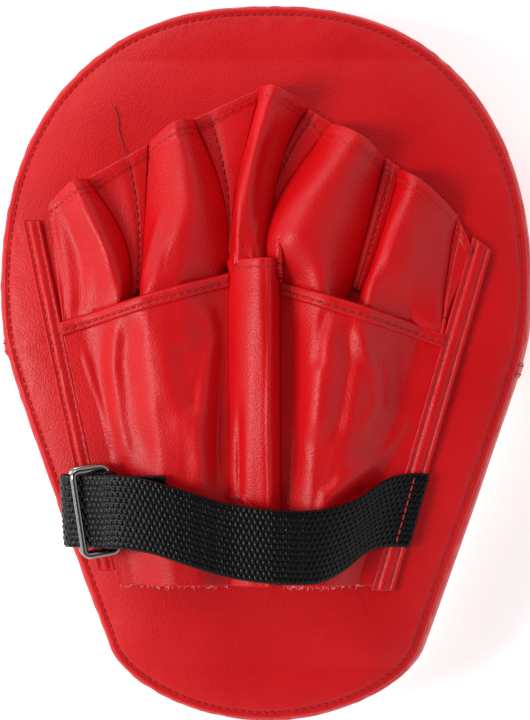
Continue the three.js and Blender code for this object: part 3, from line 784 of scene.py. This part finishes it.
def make_stalls():
    made = []
    rows = 110
    for index, stall in enumerate(STALLS):
        u, v = grid(80, rows)
        points = stall_points(index, u, v)
        n = grid_normals(points)
        free = np.sin(np.pi * np.clip(u, 0, 1)) ** 0.6
        offset = np.zeros(u.shape)
        for height, width, u0, u1, v0, v1 in stall["folds"]:
            at = mix(u0, u1, v) + 0.015 * np.sin(5 * v + index)
            fade = smooth(v0 - 0.02, v0 + 0.2, v) * smooth(v1 + 0.02, v1 - 0.25, v)
            offset += height * hump(u, at, width) * fade
        offset += 0.75 * layered(u * 30, v * 34, 17, 30 + index, 2)
        offset += 0.28 * wrinkles(u * 34, v * 60, 60 + index, 8.0, 3.5, 1.35) * smooth(0.5, 0.1, v)
        points = points + n * (offset * free)[..., None]
        length = np.linalg.norm(np.mean(points[-1] - points[0], axis=0))
        from_tip = (1 - v) * length
        relief = 0.5 * smooth(4.3, 3.7, from_tip) - 0.42 * hump(from_tip, 3.1, 0.5)
        relief += 0.16 * noise(u * 34, v * 2, 3.4, 70 + index) * smooth(6, 2, from_tip)
        made.append(sheet_object(f"finger_stall_{index + 1}_visual", points, LEATHER, RED, relief))
        k = int(round((1 - 3.1 / length) * rows))
        normals = grid_normals(points)
        line = points[k] + normals[k] * (LEATHER / 2 + 0.08)
        stitch_red.run(line, normals[k], pitch=2.7, length=1.9, radius=0.24)
    return made


VALLEY_STARTS = [0.10, 0.12, 0.15, 0.16, 0.06]
# Where the seam runs across each flat stretch, as a share.
VALLEY_SEAMS = [0.66, 0.22, 0.28, 0.50, 0.15]


def make_valleys():
    made = []
    for index, start in enumerate(VALLEY_STARTS):
        u, v = grid(24, 90)
        along = mix(start, 1.0, v)
        left = along_path(STALLS[index]["right"], along)
        if index + 1 < len(STALLS):
            right = along_path(STALLS[index + 1]["left"], along)
        else:
            right = np.stack([right_inner(left[..., 1] - 8), left[..., 1] - 11.5 * v], axis=-1)
        spare = 0.35 / np.maximum(np.linalg.norm(right - left, axis=-1), 1)
        xy = left + (right - left) * mix(spare, 1 - spare, u)[..., None]
        swell = 0.9 * np.sin(np.pi * u) * (0.6 + 0.4 * noise(xy[..., 0], xy[..., 1], 9, 40 + index))
        points = on_back(xy[..., 0], xy[..., 1], FOOT + swell)
        length = np.linalg.norm(np.mean(points[-1] - points[0], axis=0))
        from_tip = (1 - v) * length
        seam = VALLEY_SEAMS[index]
        relief = 0.5 * smooth(4.1, 3.6, from_tip) - 0.25 * hump(from_tip, 3.0, 0.5)
        relief -= 0.45 * hump(u, seam, 0.08)
        made.append(sheet_object(f"stall_valley_{index + 1}_visual", points, LEATHER, RED, relief))
        k = int(round((1 - 3.0 / length) * 90))
        line = points[k] + [0, 0, LEATHER / 2 + 0.3]
        stitch_red.run(line, upward(len(line)), pitch=2.8, length=2.1, radius=0.27)
        line = points[:, int(round(seam * 24))] + [0, 0, LEATHER / 2 - 0.05]
        stitch_red.run(line, upward(len(line)), pitch=2.8, length=2.1, radius=0.26)
    return made


PLEAT_LEFT = -0.14
PLEAT_RIGHT = 0.08
KNUCKLE = {"left": ((-0.886, 12.8), (-0.143, 30.4)), "right": ((0.078, 27.6), (0.807, 8.1))}
# Ridges and creases of the hand cover: (height, half width, path of [X, Y]).
COVER_FOLDS = [
    (0.6, 1.6, [(-64.2, 8), (-58, -12), (-51.6, -32)]),
    (1.6, 2.6, [(-49.8, 19), (-52.1, 0), (-49.8, -21), (-45.3, -40)]),
    (-1.6, 4.1, [(-45, 20), (-46, 0), (-42, -22), (-37, -42)]),
    (1.4, 6.8, [(-38, 22), (-34, 4), (-27, -14), (-24, -34)]),
    (-1.8, 4.3, [(-26, 8), (-27, -4), (-23, -20)]),
    (2.1, 3.0, [(-30, 18), (-24, 18.5), (-18.6, 15.8),
                (-15.6, 9.5), (-17.6, 0), (-19.3, -12), (-21.1, -28), (-20.4, -41), (-17.6, -52)]),
    (-1.9, 2.4, [(-14.2, 18), (-12.6, 4), (-14.6, -12), (-15.4, -30), (-15, -46)]),
    (-1.9, 4.6, [(8.6, 26), (9.4, 0), (9.4, -28), (8, -52)]),
    (-1.0, 2.0, [(23.0, 20), (20.6, 7), (19.5, -4)]),
    (1.8, 4.6, [(26.3, 18), (22.8, 6), (21.8, -5), (18.3, -30)]),
    (-1.3, 3.0, [(29, 14), (30.5, 0), (28, -16), (25, -30)]),
    (1.5, 2.7, [(32.5, 17), (39.7, -4.7), (40.6, -13.7), (33.3, -28)]),
    (-1.0, 3.2, [(44, 10), (46, -8), (43, -20)]),
    (0.9, 2.2, [(50.5, -18), (46, -27), (40, -35)]),
    (1.3, 2.4, [(42, -33), (32, -39), (22.8, -46), (20, -56)]),
    (-1.1, 2.6, [(38, -42), (28, -49), (24, -58)]),
]


def knuckle_y(x, side):
    (x0, y0), (x1, y1) = KNUCKLE[side]
    return mix(y0, y1, (x / GLOVE_HALF_SPAN - x0) / (x1 - x0))


def fullness(y):
    return mix(0.62, 1, smooth(COVER_WRIST_Y, 5, y))


def cover_height(share, y, side):
    across = share if side == "left" else 1 - share
    rise = smooth(0.12, 0.55, across) * (1 - 0.62 * smooth(0.72, 1, across))
    return FOOT + COVER_HEIGHT * rise * fullness(y)


def cover_edges(side, y):
    if side == "left":
        return left_inner(y) + 0.2, share_x(PLEAT_LEFT) - GAP
    return share_x(PLEAT_RIGHT) + GAP, right_inner(y) - 0.2


def cover_point(side, u, y):
    a, b = cover_edges(side, y)
    x = mix(a, b, u)
    height = cover_height(u, y, side)
    inside = smooth(0.0, 0.14, u) * smooth(1.0, 0.86, u)
    height = height + inside * folds(x, y, COVER_FOLDS) * smooth(-78, -62, y)
    height = height + inside * (0.35 * layered(x, y, 19, 50, 2) + 0.12 * wrinkles(x, y, 52, 9, 3.6, 1.45))
    return on_back(x, y, np.maximum(height, FOOT + 0.1))


def make_hand_cover():
    made = []
    for side in ("left", "right"):
        u, v = grid(120, 170)
        a, b = cover_edges(side, 0.0)
        top = knuckle_y(mix(a, b, u), side)
        ragged = 0.5 * noise(u * 60, u * 0, 2.2, 55)
        y = mix(COVER_WRIST_Y + ragged, top - HEM - 0.1, v)
        obj = sheet_object(f"hand_cover_{side}_visual", cover_point(side, u, y), LEATHER, RED)
        made.append(obj)
        u, v = grid(120, 14)
        top = knuckle_y(mix(a, b, u), side)
        y = top - HEM * (1 - v)
        points = cover_point(side, u, y) + np.array([0, 0, 0.45])
        relief = 0.25 * np.sin(np.pi * v) ** 0.5 - 0.35 * hump(v, 0.36, 0.12)
        relief += 0.15 * noise(u * 60, v, 2.6, 57)
        made.append(sheet_object(f"cover_hem_{side}_visual", points, 1.9, RED, relief))
        row = points[5] + grid_normals(points)[5] * 0.95
        stitch_red.run(row, grid_normals(points)[5], pitch=2.8, length=2.1, radius=0.28)
    u, v = grid(80, 230)
    left, right = share_x(PLEAT_LEFT) + 0.2, share_x(PLEAT_RIGHT) - 0.5
    y = mix(COVER_WRIST_Y, PLEAT_TOP_Y, v)
    s = (1 - np.cos(np.pi * u)) / 2
    # The fold rises gently from the left panel and turns over steeply at its right edge.
    edge = 0.82 + 0.015 * np.sin(y / 9)
    power = math.log(0.5) / math.log(0.62)
    x = mix(left, right, s + 0.05 * np.sin(np.pi * s) ** 2)
    x = x + 0.5 * noise(y, y * 0, 26, 61) * np.sin(np.pi * s)
    foot = 0.38 * COVER_HEIGHT * fullness(y)
    arch = (PLEAT_HEIGHT + 1.2) * fullness(y) * np.maximum(np.sin(np.pi * s**power), 0) ** 0.55
    crease = 1.2 * hump(s, edge, 0.07) - 0.7 * hump(s, 0.55, 0.16) * smooth(1.0, 0.7, v)
    crease = crease - 1.6 * hump(s, 0.20, 0.08) * hump(y, -34, 16)
    crease = crease + 0.25 * layered(x, y, 15, 58, 2) * np.sin(np.pi * s)
    arc, _ = to_path(x, y, [(-13.1, -50), (-11.5, -47.6), (-8.8, -46.7), (-6.2, -47.4), (-4.2, -50.5)])
    crease = crease + 1.4 * np.exp(-((arc / 0.9) ** 2)) - 0.8 * hump(y, -51, 2.5)
    points = on_back(x, y, FOOT + foot + arch + crease)
    relief = 0.45 * smooth(PLEAT_TOP_Y - 3.9, PLEAT_TOP_Y - 3.4, y) - 0.4 * hump(y, PLEAT_TOP_Y - 3, 0.5)
    made.append(sheet_object("cover_pleat_visual", points, LEATHER, RED, relief))
    k = int(round((1 - 3 / (PLEAT_TOP_Y - COVER_WRIST_Y)) * 230))
    top = points[k] + grid_normals(points)[k] * 0.66
    stitch_red.run(top, grid_normals(points)[k], pitch=2.6, length=2.0, radius=0.28)
    return made


def make_fray():
    """Loose pale fibres along the cover's raw edge at the wrist."""
    thread = Thread()
    rng = np.random.default_rng(11)
    for side in ("left", "right"):
        for u in rng.uniform(0.01, 0.99, 90):
            start = cover_point(side, np.array(u), np.array(COVER_WRIST_Y + rng.uniform(-0.3, 0.9)))
            length = rng.uniform(0.5, 1.7)
            turn = rng.normal(-math.pi / 2, 0.7)
            way = np.array([math.cos(turn), math.sin(turn), rng.uniform(-0.2, 0.4)])
            side_way = np.array([-way[1], way[0], rng.uniform(-0.5, 0.5)]) * rng.uniform(-0.5, 0.5)
            t = np.linspace(0, 1, 5)[:, None]
            line = start + way * length * t + side_way * length * t**2
            line[:, 2] = np.maximum(line[:, 2], back_z(line[:, 0], line[:, 1]) + 0.1)
            thread.tube(line, rng.uniform(0.06, 0.13) * np.linspace(1, 0.5, 5))
    return thread.build("frayed_edge", FRAY)


# ---------------------------------------------------------------- strap, tab and rings
LOWER_BAR = np.array([strip_edge(LEFT_STRIP, STRAP_Y) + STRIP_WIDTH + 3.6, 6.2])
STEP = np.array([0.6, 1.0])
UPPER_BAR = LOWER_BAR + STEP / np.linalg.norm(STEP) * (WIRE + GAP + 0.1)
BAR = WIRE / 2 + GAP + WEBBING / 2
RING_SHIFT = RING_LENGTH / 2 * math.sin(RING_SLANT)
FLAT_ON_STRIP = GAP + STRIP_THICKNESS + GAP + WEBBING / 2
STRAP_TOP = COVER_HEIGHT + PLEAT_HEIGHT - 3.4
TAIL_START = LOWER_BAR[0] + 4.9
TAIL_HEIGHT = UPPER_BAR[1] + BAR + WEBBING + GAP + 0.3
LEAN = -math.tan(RING_SLANT)


def centripetal(points, t):
    """A smooth curve through the points, evaluated at t from 0 to 1."""
    p = np.asarray(points, float)
    n = len(p) - 1
    out = np.empty((len(t), 3))
    for row, value in enumerate(t):
        at = min(value * n, n - 1e-9)
        i = int(at)
        w = at - i
        p1, p2 = p[i], p[i + 1]
        p0 = p[i - 1] if i else 2 * p1 - p2
        p3 = p[i + 2] if i + 2 <= n else 2 * p2 - p1
        d = [max(np.sum((b - a) ** 2) ** 0.25, 1e-4) for a, b in ((p0, p1), (p1, p2), (p2, p3))]
        t1 = (p1 - p0) / d[0] - (p2 - p0) / (d[0] + d[1]) + (p2 - p1) / d[1]
        t2 = (p2 - p1) / d[1] - (p3 - p1) / (d[1] + d[2]) + (p3 - p2) / d[2]
        t1, t2 = t1 * d[1], t2 * d[1]
        c2, c3 = -3 * p1 + 3 * p2 - 2 * t1 - t2, 2 * p1 - 2 * p2 + t1 + t2
        out[row] = p1 + t1 * w + c2 * w**2 + c3 * w**3
    return out


def weave(a, b):
    """Height of the webbing's weave: staggered beads across a and along b."""
    pitch = 1.95
    column = np.floor(a / pitch)
    across = np.abs(np.sin(np.pi * a / pitch)) ** 0.6
    along = np.abs(np.sin(np.pi * (b / pitch + 0.5 * column))) ** 0.6
    return 0.45 * across * along


def ribbon(name, stations, width, steps, across=70):
    stations = np.asarray(stations, float)
    v = np.linspace(0, 1, steps + 1)
    middle = centripetal(stations[:, :3], v)
    lean = np.interp(v * (len(stations) - 1), np.arange(len(stations)), stations[:, 3])
    reach = np.concatenate([[0], np.cumsum(np.linalg.norm(np.diff(middle, axis=0), axis=1))])
    even = np.linspace(0, reach[-1], steps + 1)
    middle = np.stack([np.interp(even, reach, middle[:, k]) for k in range(3)], axis=1)
    lean = np.interp(even, reach, lean)
    u = np.linspace(-0.5, 0.5, across + 1)[None, :] * width
    x = middle[:, 0][:, None] + u * lean[:, None]
    y = middle[:, 1][:, None] + u
    points = on_back(x, y, np.broadcast_to(middle[:, 2][:, None], x.shape))
    a = np.broadcast_to(u + width / 2, x.shape)
    b = np.broadcast_to(even[:, None], x.shape)
    edge = smooth(0, 1.4, a) * smooth(width, width - 1.4, a)
    relief = weave(a, b) * mix(0.45, 1, edge) - 0.15
    return sheet_object(name, points, WEBBING * 0.78, WEB, relief), points, even


def make_strap():
    y = STRAP_Y
    left = LOWER_BAR[0] - RING_LENGTH
    right = strip_edge(RIGHT_STRIP, STRAP_Y) + 1.2

    def over(share):
        return mix(left, right, share)

    strap, points, reach = ribbon("wrist_strap_visual", [
        (right, -51.8, FLAT_ON_STRIP, 0.28),
        (right - 6.5, -51.6, FLAT_ON_STRIP + 0.4, 0.28),
        (right - 13.5, -53, 5.6, 0.28),
        (over(0.795), -60.5, 11.5, 0.2),
        (over(0.712), -63.8, STRAP_TOP - 2.1, 0.04),
        (over(0.595), -63.9, STRAP_TOP, 0),
        (over(0.454), -61.8, STRAP_TOP - 1.2, 0),
        (over(0.329), -57.3, STRAP_TOP + 0.2, 0),
        (over(0.229), -53.6, STRAP_TOP - 0.2, -0.04),
        (left + 16.6, y, 15.8, -0.04),
        (left + 11.6, y, 14.2, -0.06),
        (left + 7.8, y, 12.0, -0.06),
        (left + 4.2, y, 10.2, -0.06),
        (left, y, 9.4, -0.04),
        (left - 2.8, y, 8.9, -0.04),
        (left - 4.6, y, 6.7, -0.04),
        (left - 2.4, y, 4.2, -0.08),
        (left + 1.2, y, 4.2, LEAN),
        (left + 3.8, y, 6.4, LEAN),
        (left + 6.4, y, 9.0, LEAN),
        (left + 9.0, y, TAIL_HEIGHT - 1.2, LEAN),
        (left + 12.0, y, TAIL_HEIGHT, LEAN),
        (TAIL_START - 2 * GAP, y, TAIL_HEIGHT + 0.1, LEAN),
    ], WEBBING_WIDTH, 520)
    tail, _, _ = ribbon("strap_tail_visual", [
        (TAIL_START, y, TAIL_HEIGHT + 0.1, LEAN),
        (TAIL_START + TAIL_LENGTH / 2, y, TAIL_HEIGHT + 0.7, LEAN),
        (TAIL_START + TAIL_LENGTH, y, TAIL_HEIGHT + 1.2, LEAN),
    ], WEBBING_WIDTH - 2 * GAP, 50)
    # The row of stitches across the sewn end.
    sewn = points[np.searchsorted(reach, 4.6), 3:-3] + [0, 0, 0.78]
    row = Thread()
    row.run(sewn, upward(len(sewn)), pitch=2.6, length=2.0, radius=0.26)
    stitches = row.build("strap_end_stitching", DARK_RED_THREAD)

    y = STRAP_Y + RING_SHIFT + 1.4
    end = LOWER_BAR[0] - 6.8

    def round_bar(bar, degrees):
        angle = math.radians(degrees)
        return (bar[0] + BAR * math.cos(angle), y, bar[1] + BAR * math.sin(angle), LEAN)

    tab, _, _ = ribbon("anchor_tab_visual", [
        (end, y, FLAT_ON_STRIP, LEAN),
        (end + 3.2, y, FLAT_ON_STRIP + 0.3, LEAN),
        *[round_bar(LOWER_BAR, d) for d in (-90, -60, -30)],
        *[round_bar(UPPER_BAR, d) for d in (-20, 20, 60, 95, 130)],
        round_bar(LOWER_BAR, 160),
        (end + 2.4, y, FLAT_ON_STRIP + WEBBING + 2 * GAP + 0.4, LEAN),
        (end, y, FLAT_ON_STRIP + WEBBING + GAP, LEAN),
    ], WEBBING_WIDTH - 2, 130, 60)
    return strap, tail, tab, stitches


def make_ring(name, bar, spread):
    fall = back_z(LOWER_BAR[0], np.array(STRAP_Y)) - back_z(LOWER_BAR[0] - RING_LENGTH, np.array(STRAP_Y))
    tilt = 1.3 - math.degrees(math.atan(fall / RING_LENGTH)) + spread
    x = -RING_LENGTH
    corners = [(0, -RING_HALF), (0, RING_HALF), (x, RING_HALF), (x, -RING_HALF)]
    path = []
    for i, corner in enumerate(corners):
        corner = np.array(corner, float)
        before, after = np.array(corners[i - 1], float), np.array(corners[(i + 1) % 4], float)
        start = corner + (before - corner) / np.linalg.norm(before - corner) * RING_CORNER
        end = corner + (after - corner) / np.linalg.norm(after - corner) * RING_CORNER
        t = np.linspace(0, 1, 14)[:, None]
        path += ((1 - t) ** 2 * start + 2 * t * (1 - t) * corner + t**2 * end).tolist()
    path = evenly(np.array(path), 200, closed=True)
    along = np.roll(path, -1, axis=0) - np.roll(path, 1, axis=0)
    along /= np.linalg.norm(along, axis=1)[:, None]
    turn = 2 * np.pi * np.arange(20) / 20
    out = np.cos(turn) * WIRE / 2
    loops = np.stack([
        path[:, 0][:, None] + along[:, 1][:, None] * out,
        path[:, 1][:, None] - along[:, 0][:, None] * out,
        np.broadcast_to(np.sin(turn) * WIRE / 2, (len(path), 20)),
    ], axis=2)
    fingertip_side = back_z(LOWER_BAR[0], np.array(STRAP_Y + RING_HALF))
    wrist_side = back_z(LOWER_BAR[0], np.array(STRAP_Y - RING_HALF))
    slope = (fingertip_side - wrist_side) / (2 * RING_HALF)
    a, b, c = math.atan(slope), math.radians(tilt), RING_SLANT
    ry = np.array([[math.cos(b), 0, math.sin(b)], [0, 1, 0], [-math.sin(b), 0, math.cos(b)]])
    rx = np.array([[1, 0, 0], [0, math.cos(a), -math.sin(a)], [0, math.sin(a), math.cos(a)]])
    rz = np.array([[math.cos(c), -math.sin(c), 0], [math.sin(c), math.cos(c), 0], [0, 0, 1]])
    turned = loops @ (rz @ rx @ ry).T
    place = np.array([bar[0], STRAP_Y + RING_SHIFT, back_z(np.array(bar[0]), np.array(STRAP_Y)) + bar[1]])
    return loops_object(name, turned + place, STEEL, closed_profile=True)


# ---------------------------------------------------------------- the object
back_cover = make_back_cover()
band_upper, band_lower, joins = make_side_band()
strike_upper, strike_lower = make_strike_covers()
foams = make_foam()
strips = make_strips()
stalls = make_stalls()
valleys = make_valleys()
cover = make_hand_cover()
fray = make_fray()
strap, tail, tab, end_stitching = make_strap()
ring_lower = make_ring("ring_lower_visual", LOWER_BAR, 0)
ring_upper = make_ring("ring_upper_visual", UPPER_BAR, 20)
# A thread end left loose on the back cover, running out of the first valley's seam.
loose = np.array([[-48.4, 70.6], [-50.0, 77.5], [-51.2, 82.0], [-51.6, 86.5], [-53.0, 90.6]])
stitch_red.tube(on_back(loose[:, 0], loose[:, 1], np.array([2.2, 0.6, 0.5, 0.6, 0.5])), np.full(5, 0.2))
seams = [
    stitch_red.build("glove_stitching", SHADED_RED_THREAD),
    stitch_rim.build("rim_topstitch", SHADED_RED_THREAD),
    stitch_white.build("white_panel_stitching", WHITE_THREAD),
]


def place(obj, body, nodes, slot):
    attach(obj, body)
    if nodes:
        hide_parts(*nodes)


for obj, node in (
    (back_cover, "back_cover"), (band_upper, "side_band_upper"), (band_lower, "side_band_lower"),
    (joins[0], "side_join_left"), (joins[1], "side_join_right"), (strike_upper, "strike_cover_upper"),
    (strips[0], "side_strip_left"), (strips[1], "side_strip_right"),
    (cover[0], "hand_cover_left"), (cover[1], "cover_hem_left"), (cover[2], "hand_cover_right"),
    (cover[3], "cover_hem_right"), (cover[4], "cover_pleat"),
):
    place(obj, "pad", [node], "red_leather")
for i in range(5):
    place(stalls[i], "pad", [f"finger_stall_{i + 1}"], "red_leather")
    place(valleys[i], "pad", [f"stall_valley_{i + 1}"], "red_leather")
place(strike_lower, "pad", ["strike_cover_lower"], "white_leather")
foam_nodes = (("foam_front", "dense_foam"), ("foam_middle", "soft_foam"), ("foam_back", "soft_foam"))
for obj, (node, slot) in zip(foams, foam_nodes):
    place(obj, "pad", [node], slot)
for obj in seams[:2] + [fray, end_stitching]:
    place(obj, "pad", [], "red_leather")
place(seams[2], "pad", [], "white_leather")
place(strap, "pad", ["wrist_strap"], "webbing")
place(tab, "pad", ["anchor_tab"], "webbing")
place(tail, "strap_tail", ["strap_tail"], "webbing")
place(ring_lower, "ring_lower", ["ring_lower"], "wire")
place(ring_upper, "ring_upper", ["ring_upper"], "wire")



# ---------------------------------------------------------------- floor, light and camera
floor_mesh = bpy.data.meshes.new("floor")
floor_mesh.from_pydata([(-4, -4, 0), (4, -4, 0), (4, 4, 0), (-4, 4, 0)], [], [(0, 1, 2, 3)])
floor_paint = plain("pale floor", "f4f3f2", 0.9)
floor_paint.node_tree.nodes["Principled BSDF"].inputs["Emission Color"].default_value = srgb("ffffff")
floor_paint.node_tree.nodes["Principled BSDF"].inputs["Emission Strength"].default_value = 0.5
floor_mesh.materials.append(floor_paint)
floor = bpy.data.objects.new("floor", floor_mesh)
bpy.context.scene.collection.objects.link(floor)

world = bpy.data.worlds.new("pale room")
world.use_nodes = True
sky = world.node_tree.nodes
way = sky.new("ShaderNodeTexCoord")
parts = sky.new("ShaderNodeSeparateXYZ")
height = sky.new("ShaderNodeMapRange")
height.inputs["From Min"].default_value = 0.62
height.inputs["From Max"].default_value = 0.94
height.inputs["To Min"].default_value = 0.95
height.inputs["To Max"].default_value = 0.06
world.node_tree.links.new(way.outputs["Generated"], parts.inputs["Vector"])
world.node_tree.links.new(parts.outputs["Z"], height.inputs["Value"])
world.node_tree.links.new(height.outputs["Result"], sky["Background"].inputs["Strength"])
sky["Background"].inputs["Color"].default_value = srgb("f4f5f8")
bpy.context.scene.world = world
bpy.context.scene.view_settings.view_transform = "Standard"


def area_light(name, location, target, size, power, colour="ffffff"):
    data = bpy.data.lights.new(name, "AREA")
    data.shape = "DISK"
    data.size = size
    data.energy = power
    data.color = srgb(colour)[:3]
    obj = bpy.data.objects.new(name, data)
    obj.location = location
    way = np.array(target) - np.array(location)
    obj.rotation_euler = Vector(way).to_track_quat("-Z", "Y").to_euler()
    bpy.context.scene.collection.objects.link(obj)


area_light("key", (-1.75, -0.2, 1.6), (0, 0, 0.04), 0.9, 34)
area_light("window", (-1.3, 1.9, 1.5), (0, 0, 0.04), 1.2, 15)

CAMERA_REACH = 1.0
camera_data = bpy.data.cameras.new("camera")
camera_data.sensor_width = 36
camera_data.lens = 142.5
camera_data.clip_start = 0.05
camera = bpy.data.objects.new("camera", camera_data)
aim = np.array([0.0006, 0.0008, 0.050])
tilt_x, tilt_y = math.radians(3.2), math.radians(-0.8)
back_to_camera = [math.sin(tilt_x), math.sin(tilt_y), math.cos(tilt_x) * math.cos(tilt_y)]
camera.location = aim + CAMERA_REACH * np.array(back_to_camera)
camera.rotation_euler = (-tilt_y, tilt_x, 0)
bpy.context.scene.collection.objects.link(camera)
bpy.context.scene.camera = camera
